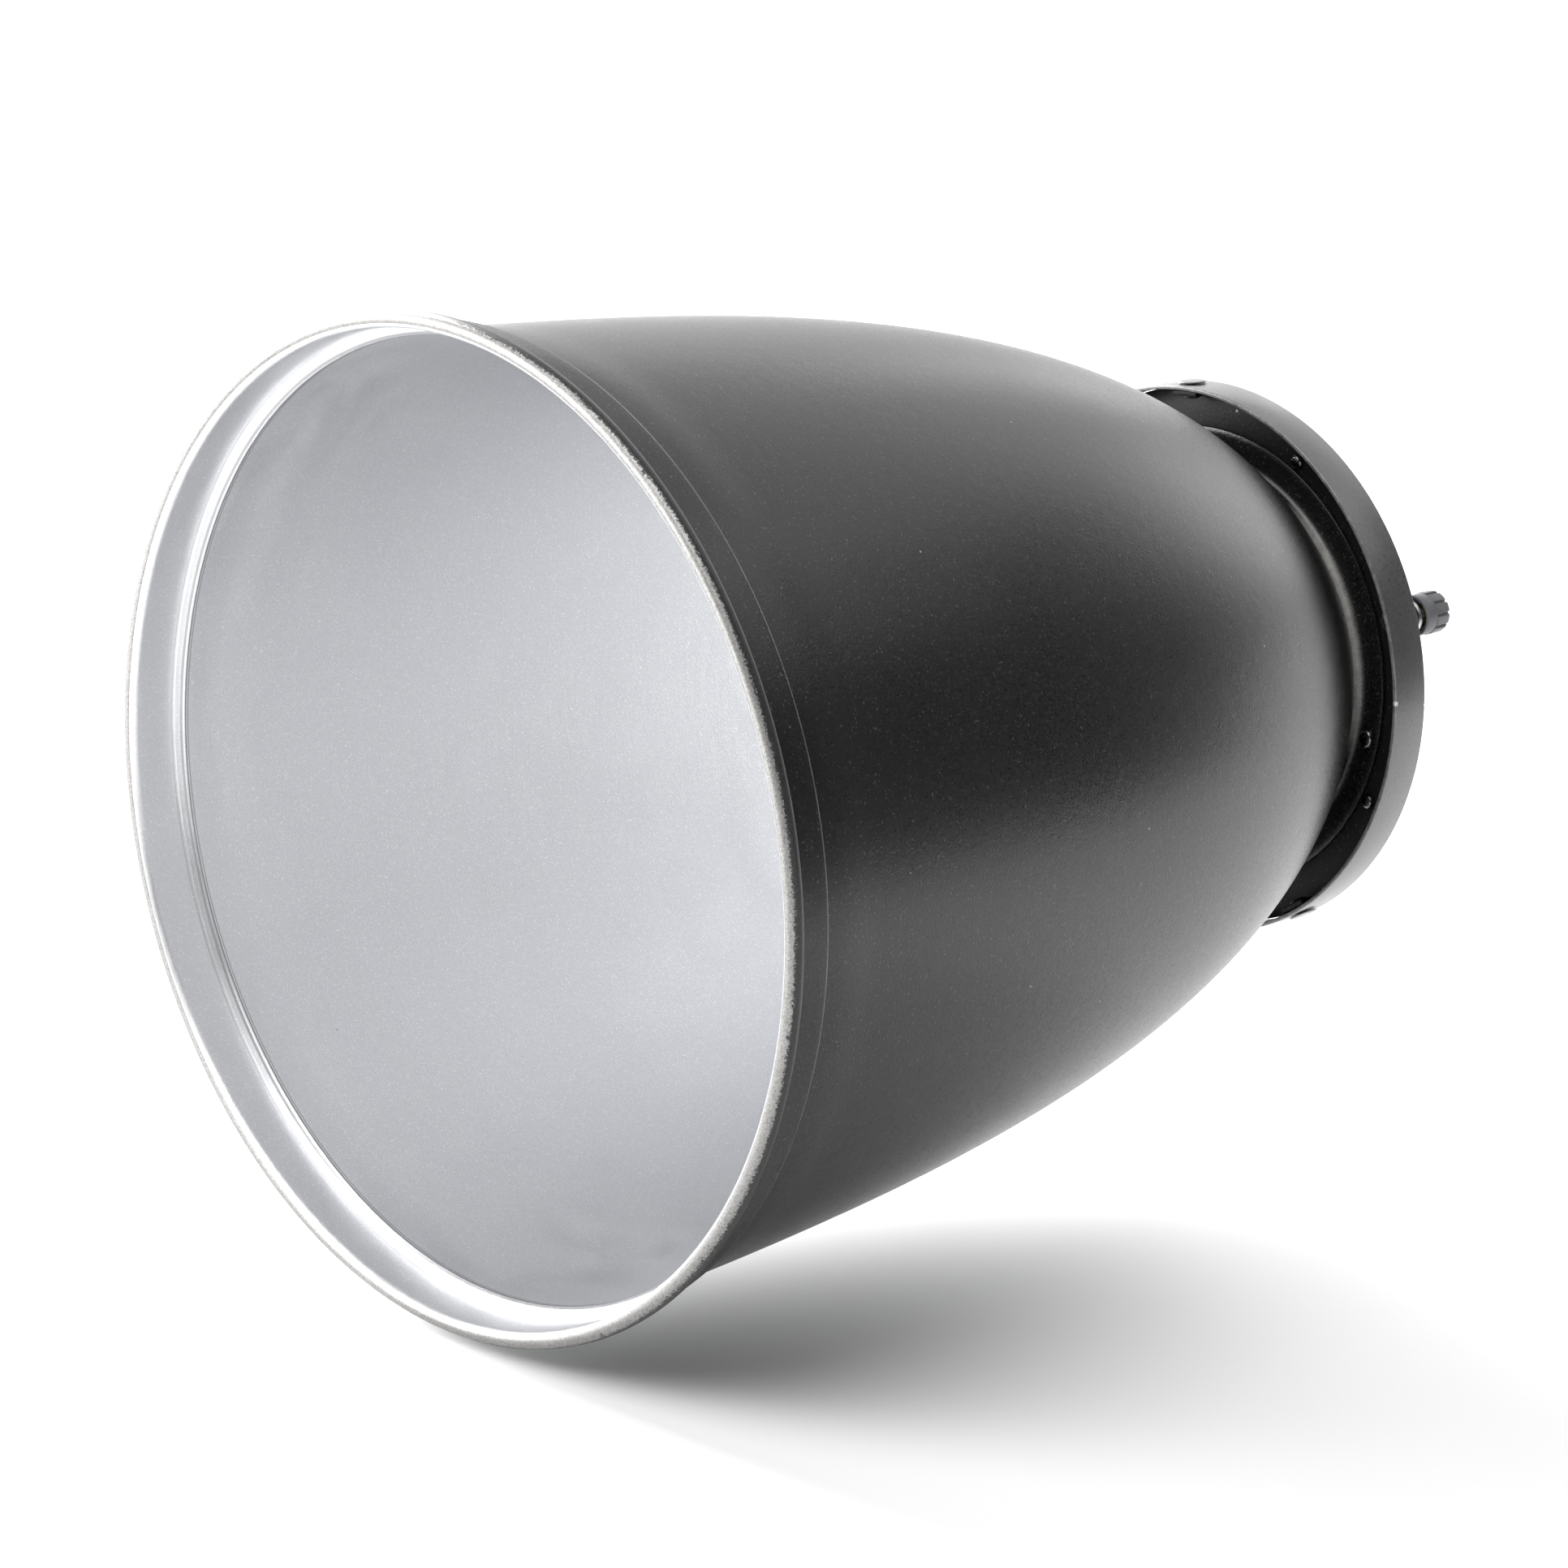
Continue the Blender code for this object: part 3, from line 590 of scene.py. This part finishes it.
def make_adapter():
    ear_c, ear_r, r_ad = 70.0, 8.0, 68.0

    def outer(a):
        best = r_ad
        for c in ADAPT_CLOCKS:
            d = (a - math.radians(c) + math.pi) % TAU - math.pi
            q = ear_r ** 2 - (ear_c * math.sin(d)) ** 2
            if abs(d) < 0.3 and q > 0:
                best = max(best, ear_c * math.cos(d) + math.sqrt(q))
        return best
    n = 720
    grid = [TAU * i / n for i in range(n)]
    # soften the corner between the disc and each ear
    raw = [outer(a) for a in grid]
    win = 7
    soft = [sum(raw[(i + k) % n] for k in range(-win, win + 1)) / (2 * win + 1) for i in range(n)]
    soft = [min(s, 78.0) for s in soft]
    y0, y1, e = 0.3, 2.8, 0.35
    rings = [lambda i: (y0, 49.5 + e), lambda i: (y0, soft[i] - e), lambda i: (y0 + e * 0.3, soft[i] - e * 0.3),
             lambda i: (y0 + e, soft[i]), lambda i: (y1 - e, soft[i]), lambda i: (y1 - e * 0.3, soft[i] - e * 0.3),
             lambda i: (y1, soft[i] - e), lambda i: (y1, 63.0), lambda i: (y1 + 0.35, 62.6), lambda i: (y1 + 0.35, 54.6)]
    for t in (0, 30, 60, 90):
        a = math.radians(t)
        rings.append(lambda i, a=a: (y1 + 0.35 + 1.8 * (1 - math.cos(a)), 52.5 + 1.8 * (1 - math.sin(a)) + 0.0))
    rings += [lambda i: (12.3, 52.5), lambda i: (12.75, 52.3), lambda i: (13.0, 51.8), lambda i: (13.0, 50.2),
              lambda i: (12.8, 49.8), lambda i: (12.3, 49.5), lambda i: (y0 + e, 49.5)]
    bm = bmesh.new()
    rows = []
    for f in rings:
        row = []
        for i, a in enumerate(grid):
            y, r = f(i)
            row.append(bm.verts.new((r * math.sin(a) * MM, y * MM, r * math.cos(a) * MM)))
        rows.append(row)
    ring_faces(bm, rows)
    for k in range(3):
        o = rounded([(9.5, 51.2), (9.5, 58.0), (12.4, 58.0), (12.4, 51.2)], [0, 0.5, 0.5, 0])
        sector(bm, 120.0 * k, 17.5, o, 24)
    return finish_mesh("bayonet_ring", bm, ADAPTER, "root", ["bayonet_adapter"])


# ------------------------------------------------------------------ fasteners
def dome(y0, h, r, way, n=8):
    """From the head's rim to the axis."""
    out = [(y0, r - 0.08), (y0 + way * 0.08, r)]
    for k in range(1, n + 1):
        t = math.pi / 2 * k / n
        out.append((y0 + way * (0.08 + (h - 0.08) * math.sin(t)), max(0.0, r * math.cos(t) ** 0.75 if k < n else 0.0)))
    return out


def make_screw(i, clock):
    """Pan head with a cross recess, on the bowl's flange."""
    f = -PLATE_T - GAP - SHEET - GAP
    prof = [(-0.5, 0), (-0.5, 1.2), (-0.8, 1.5), (f, 1.5), (f, 2.65), (f - 0.1, 2.75)]
    for k in range(1, 8):
        t = math.pi / 2 * k / 8
        prof.append((f - 0.1 - 1.4 * math.sin(t), 0.9 + 1.85 * math.cos(t) ** 0.7))
    prof += [(f - 1.5, 0.9), (f - 1.5, 0.0)]
    bm = turned_bm(prof, 48)
    ob = finish_mesh("flange_screw_head_%d" % i, bm, HEADS, "root", ["flange_screw_%d" % i],
                     at(SCREW_PCR, clock, 0))
    tool = bmesh.new()
    for turn in (20, 110):
        vs = []
        m = Matrix.Translation((0, (f - 1.1) * MM, 0)) @ Matrix.Rotation(math.radians(turn), 4, 'Y')
        got = bmesh.ops.create_cube(tool, size=1.0, matrix=m @ Matrix.Diagonal((3.0 * MM, 1.5 * MM, 0.62 * MM, 1)))
    cut_object(ob, tool)
    return ob


def cut_object(ob, tool_bm):
    """Subtracts a scratch mesh for good, then drops it."""
    me = bpy.data.meshes.new("cut")
    tool_bm.to_mesh(me)
    tool_bm.free()
    cut = bpy.data.objects.new("cut", me)
    cut.matrix_world = ob.matrix_world
    bpy.context.scene.collection.objects.link(cut)
    mod = ob.modifiers.new("cut", 'BOOLEAN')
    mod.operation, mod.solver, mod.object = 'DIFFERENCE', 'EXACT', cut
    mod.use_self = True
    bpy.context.view_layer.update()
    done = bpy.data.meshes.new_from_object(ob.evaluated_get(bpy.context.evaluated_depsgraph_get()))
    ob.modifiers.clear()
    done.name = ob.name
    ob.data = done
    done.set_sharp_from_angle(angle=math.radians(35))
    bpy.data.objects.remove(cut, do_unlink=True)


def make_plate_rivet(i, clock):
    f, b = -PLATE_T - GAP, 3.1
    prof = dome(f, 1.4, 2.2, -1)[::-1] + [(f, 1.5), (b, 1.5)] + dome(b, 1.2, 2.6, 1)
    return finish_mesh("plate_rivet_%d" % i, turned_bm(prof, 40), HEADS, "root", ["adapter_rivet_%d" % i],
                       at(RIVET_PCR, clock, 0))


def make_rim_rivet(i, clock):
    inner, outer = TAB_IN - GAP, RING_R + GAP
    prof = dome(inner, 1.0, 2.6, -1)[::-1] + [(inner, 1.5), (outer, 1.5), (outer, 4.05), (outer + 0.06, 4.18),
                                              (outer + 0.2, 4.2), (outer + 0.34, 4.08), (outer + 0.43, 3.8),
                                              (outer + 0.48, 3.2), (outer + 0.5, 2.0), (outer + 0.5, 0)]
    return finish_mesh("rim_rivet_head_%d" % i, turned_bm(prof, 56), RING, "root", ["rim_rivet_%d" % i],
                       at(0, 0, -RING_W / 2), (math.radians(90), math.radians(clock), 0))


def make_stud(i, clock):
    f, end = -PLATE_T - GAP, 14.0
    prof = [(f - 1.4, 0), (f - 1.4, 2.7), (f - 1.3, 3.05), (f - 1.0, 3.3), (f - 0.7, 3.4), (f, 3.4), (f, STUD_R), (3.0, STUD_R)]
    y = 3.2
    while y < end - 0.9:
        prof += [(y, STUD_R - 0.38), (y + 0.12, STUD_R - 0.38), (y + 0.36, STUD_R), (y + 0.48, STUD_R)]
        y += PITCH
    prof += [(end - 0.5, STUD_R - 0.35), (end - 0.1, STUD_R - 0.75), (end, STUD_R - 0.95), (end, 0)]
    return finish_mesh("clamp_stud_thread_%d" % i, turned_bm(prof, 40), ZINC, "root", ["clamp_stud_%d" % i],
                       at(STUD_PCR, clock, 0))


def make_tube(name, node, body, y0, y1, r0, r1, e, m, clock):
    prof = rounded([(y0, r0), (y0, r1), (y1, r1), (y1, r0)], e, 3)
    return finish_mesh(name, lathe_bm(prof, 56), m, body, [node], at(STUD_PCR, clock, 0))


def make_latch(i, clock):
    """Pressed clamp tab with rounded edges; its arm points to the axis."""
    hub, tip, reach, hole, e = 5.2, 3.2, 11.0, STUD_R + GAP, 0.25
    y0, y1 = 3.3, 4.8
    lean = math.asin((hub - tip) / reach)

    def outer(a):
        """Distance from the stud to the edge; a is 0 away from the axis."""
        d = abs((a + math.pi) % TAU - math.pi)
        if d <= math.pi / 2 + lean - 0.0:
            return hub
        t = math.pi - d                                         # angle off the arm's line
        edge_ang = math.atan2(tip * math.cos(lean), reach + tip * math.sin(lean))
        if t < edge_ang:
            q = tip ** 2 - (reach * math.sin(t)) ** 2
            return reach * math.cos(t) + math.sqrt(max(q, 0))
        return hub / math.cos(d - (math.pi / 2 + lean)) if d - (math.pi / 2 + lean) < 1.4 else hub
    n = 180
    grid = [TAU * k / n for k in range(n)]
    rings = [(y0, 'h', 0.1), (y0, 'o', -e), (y0 + e * 0.3, 'o', -e * 0.3), (y0 + e, 'o', 0), (y1 - e, 'o', 0),
             (y1 - e * 0.3, 'o', -e * 0.3), (y1, 'o', -e), (y1, 'h', 0.1), (y1 - 0.1, 'h', 0), (y0 + 0.1, 'h', 0)]
    bm = bmesh.new()
    rows = []
    for y, kind, off in rings:
        row = []
        for a in grid:
            r = (outer(a) if kind == 'o' else hole) + off
            row.append(bm.verts.new((r * math.sin(a) * MM, y * MM, r * math.cos(a) * MM)))
        rows.append(row)
    ring_faces(bm, rows)
    return finish_mesh("clamp_tab_%d" % i, bm, ZINC, "latch_%d" % i, ["clamp_latch_%d" % i], at(STUD_PCR, clock, 0),
                       (0, math.radians(clock), 0))


def make_knob(i, clock):
    """Fluted thumb nut: hollow plain skirt near the ring, ten wide flats behind it."""
    lobes, seg = 10, 240
    base = 6.2

    def flute(a, deep):
        """0 on a flat, deep in the groove between two flats; the flats are slightly flattened."""
        u = (a * lobes / TAU) % 1.0
        d = min(u, 1 - u)                                       # distance from a groove, in lobes
        g = max(0.0, 1 - (d / 0.15) ** 2) ** 0.9 if d < 0.15 else 0.0
        w = (d - 0.5) * TAU / lobes
        flat = 1 - math.cos(w) / 1.0
        return deep * g + 6.3 * (1 - math.cos(TAU / lobes / 2) / math.cos(w)) * 0.30
    rings = []

    def ring(y, r, deep=None):
        rings.append([(y + base, r if deep is None else r - flute(a, deep) * (1 if deep else 0))
                      for a in (TAU * k / seg for k in range(seg))])
    for y, r in ((8.6, 0.001), (8.6, 3.6), (2.35, 3.6), (2.2, 3.75), (2.05, 4.7), (1.9, 4.9), (0.3, 5.1), (0.1, 5.2), (0.0, 5.35),
                 (0.0, 5.7), (0.08, 5.95), (0.3, 6.05), (2.0, 6.05), (3.9, 6.05), (4.15, 6.06)):
        ring(y, r)
    for y, r, deep in ((4.3, 6.10, 0.12), (4.42, 6.26, 0.6), (4.6, 6.3, 0.78), (6.5, 6.3, 0.8), (8.4, 6.28, 0.8), (9.3, 6.2, 0.78),
                       (9.65, 6.05, 0.72), (9.9, 5.75, 0.6), (10.03, 5.4, 0.42), (10.1, 5.0, 0.2)):
        ring(y, r, deep)
    for y, r in ((10.1, 4.4), (10.08, 4.25), (9.85, 4.1), (9.8, 3.9), (9.8, 1.4), (9.85, 1.1), (9.85, 0.001)):
        ring(y, r)
    bm = bmesh.new()
    rows = []
    for rr in rings:
        rows.append([bm.verts.new((r * math.sin(TAU * k / seg) * MM, y * MM, r * math.cos(TAU * k / seg) * MM))
                     for k, (y, r) in enumerate(rr)])
    ring_faces(bm, rows, False)
    for row in (rows[0], rows[-1]):
        bm.faces.new(row)
    return finish_mesh("thumb_nut_%d" % i, bm, KNOB, "knob_%d" % i, ["thumb_knob_%d" % i], at(STUD_PCR, clock, 0),
                       (0, math.radians(clock + 12), 0), sharp=30)


make_bowl()
make_plate()
make_ring()
make_adapter()
for i, c in enumerate(SCREW_CLOCKS, 1):
    make_screw(i, c)
for i, c in enumerate(ADAPT_CLOCKS, 1):
    make_plate_rivet(i, c)
for i, c in enumerate(RIM_CLOCKS, 1):
    make_rim_rivet(i, c)
for i, c in enumerate(CLAMPS, 1):
    make_stud(i, c)
    make_tube("stud_spacer_%d" % i, "clamp_spacer_%d" % i, "root", 0.3, 3.0, 2.3, 4.2, 0.2, ZINC, c)
    make_latch(i, c)
    make_tube("nut_washer_%d" % i, "thumb_washer_%d" % i, "washer_%d" % i, 5.1, 5.9, 2.3, 4.5, 0.15, NYLON, c)
    make_knob(i, c)
    make_tube("nut_insert_%d" % i, "knob_insert_%d" % i, "knob_%d" % i, 8.7, 14.1, 2.3, 3.3, 0.2, BRASS, c)

# ------------------------------------------------------------------ stage, light and camera
fm = bmesh.new()
bmesh.ops.create_grid(fm, x_segments=2, y_segments=2, size=30.0)
floor_mesh = bpy.data.meshes.new("studio_floor")
fm.to_mesh(floor_mesh)
fm.free()
floor_mesh.materials.append(floor_mat())
floor = bpy.data.objects.new("studio_floor", floor_mesh)
floor.location = (0, 0, -0.1425)
bpy.context.scene.collection.objects.link(floor)

def card(name, centre, aim, w, h):
    """A black studio card beside the set, out of the picture."""
    bm = bmesh.new()
    bmesh.ops.create_grid(bm, x_segments=1, y_segments=1, size=0.5)
    me = bpy.data.meshes.new(name)
    bm.to_mesh(me)
    bm.free()
    me.materials.append(CARD)
    ob = bpy.data.objects.new(name, me)
    ob.location = centre
    ob.scale = (w, h, 1)
    ob.rotation_euler = (Vector(aim) - Vector(centre)).to_track_quat('Z', 'Y').to_euler()
    ob.visible_camera = False
    bpy.context.scene.collection.objects.link(ob)
    return ob


CARD = Shader("studio_black_card", 0.9, 0.0, (0.012, 0.012, 0.012)).mat
card("card_right", (0.62, 0.32, 0.13), (0.0, -0.25, 0.13), 0.9, 0.5)

CENTRE = Vector((0, -0.15, 0))


def from_angles(azimuth, elevation):
    """Unit vector towards a light. Azimuth 0 is the camera's side, turning anticlockwise seen from above."""
    a, e = math.radians(azimuth) + math.atan2(-1.07, 1.13), math.radians(elevation)
    return Vector((math.cos(a) * math.cos(e), math.sin(a) * math.cos(e), math.sin(e)))


def softbox(name, azimuth, elevation, power, size=1.1, distance=2.3):
    ld = bpy.data.lights.new(name, 'AREA')
    ld.shape, ld.size, ld.energy = 'SQUARE', size, power
    lo = bpy.data.objects.new(name, ld)
    lo.location = CENTRE + from_angles(azimuth, elevation) * distance
    lo.rotation_euler = (CENTRE - lo.location).to_track_quat('-Z', 'Y').to_euler()
    lo.visible_camera = False
    bpy.context.scene.collection.objects.link(lo)


softbox("softbox_mouth_low", 270, 12, 50)
softbox("softbox_right_back_low", 135, 12, 4.5)
softbox("softbox_right_high", 90, 42, 4.5)
softbox("softbox_camera_high", 0, 42, 0.9)


def silk(name, azimuth, elevation, power, angle):
    """A very large, distant soft source."""
    ld = bpy.data.lights.new(name, 'SUN')
    ld.angle, ld.energy = math.radians(angle), power
    lo = bpy.data.objects.new(name, ld)
    lo.rotation_euler = (-from_angles(azimuth, elevation)).to_track_quat('-Z', 'Y').to_euler()
    bpy.context.scene.collection.objects.link(lo)


silk("silk_left", 210, 18, 10.0, 36)
silk("silk_mouth_high", 315, 55, 2.3, 50)
silk("silk_right_behind_high", 135, 55, 0.6, 50)
silk("silk_behind_low", 180, 16, 0.4, 36)
silk("silk_right_behind_low", 150, 18, 0.4, 36)
silk("silk_behind_high", 180, 40, 0.15, 36)

scene = bpy.context.scene
world = bpy.data.worlds.new("studio")
scene.world = world
world.use_nodes = True
wt = world.node_tree
back = wt.nodes["Background"]
back.inputs[0].default_value = (1, 1, 1, 1)
path = wt.nodes.new("ShaderNodeLightPath")
level = wt.nodes.new("ShaderNodeMapRange")                    # dim room for the light, pale backdrop to look at
level.inputs[3].default_value, level.inputs[4].default_value = 0.03, 1.0
wt.links.new(path.outputs["Is Camera Ray"], level.inputs[0])
wt.links.new(level.outputs[0], back.inputs[1])
scene.view_settings.view_transform = 'Standard'

cam = bpy.data.cameras.new("camera")
cam.lens, cam.sensor_width = 130.43, 36.0
cam.clip_start, cam.clip_end = 0.05, 100.0
co = bpy.data.objects.new("camera", cam)
co.location = (1.1297, -1.2157, 0.4034)
co.rotation_euler = (math.radians(74.98), 0.0, math.radians(47.38))
scene.collection.objects.link(co)
scene.camera = co
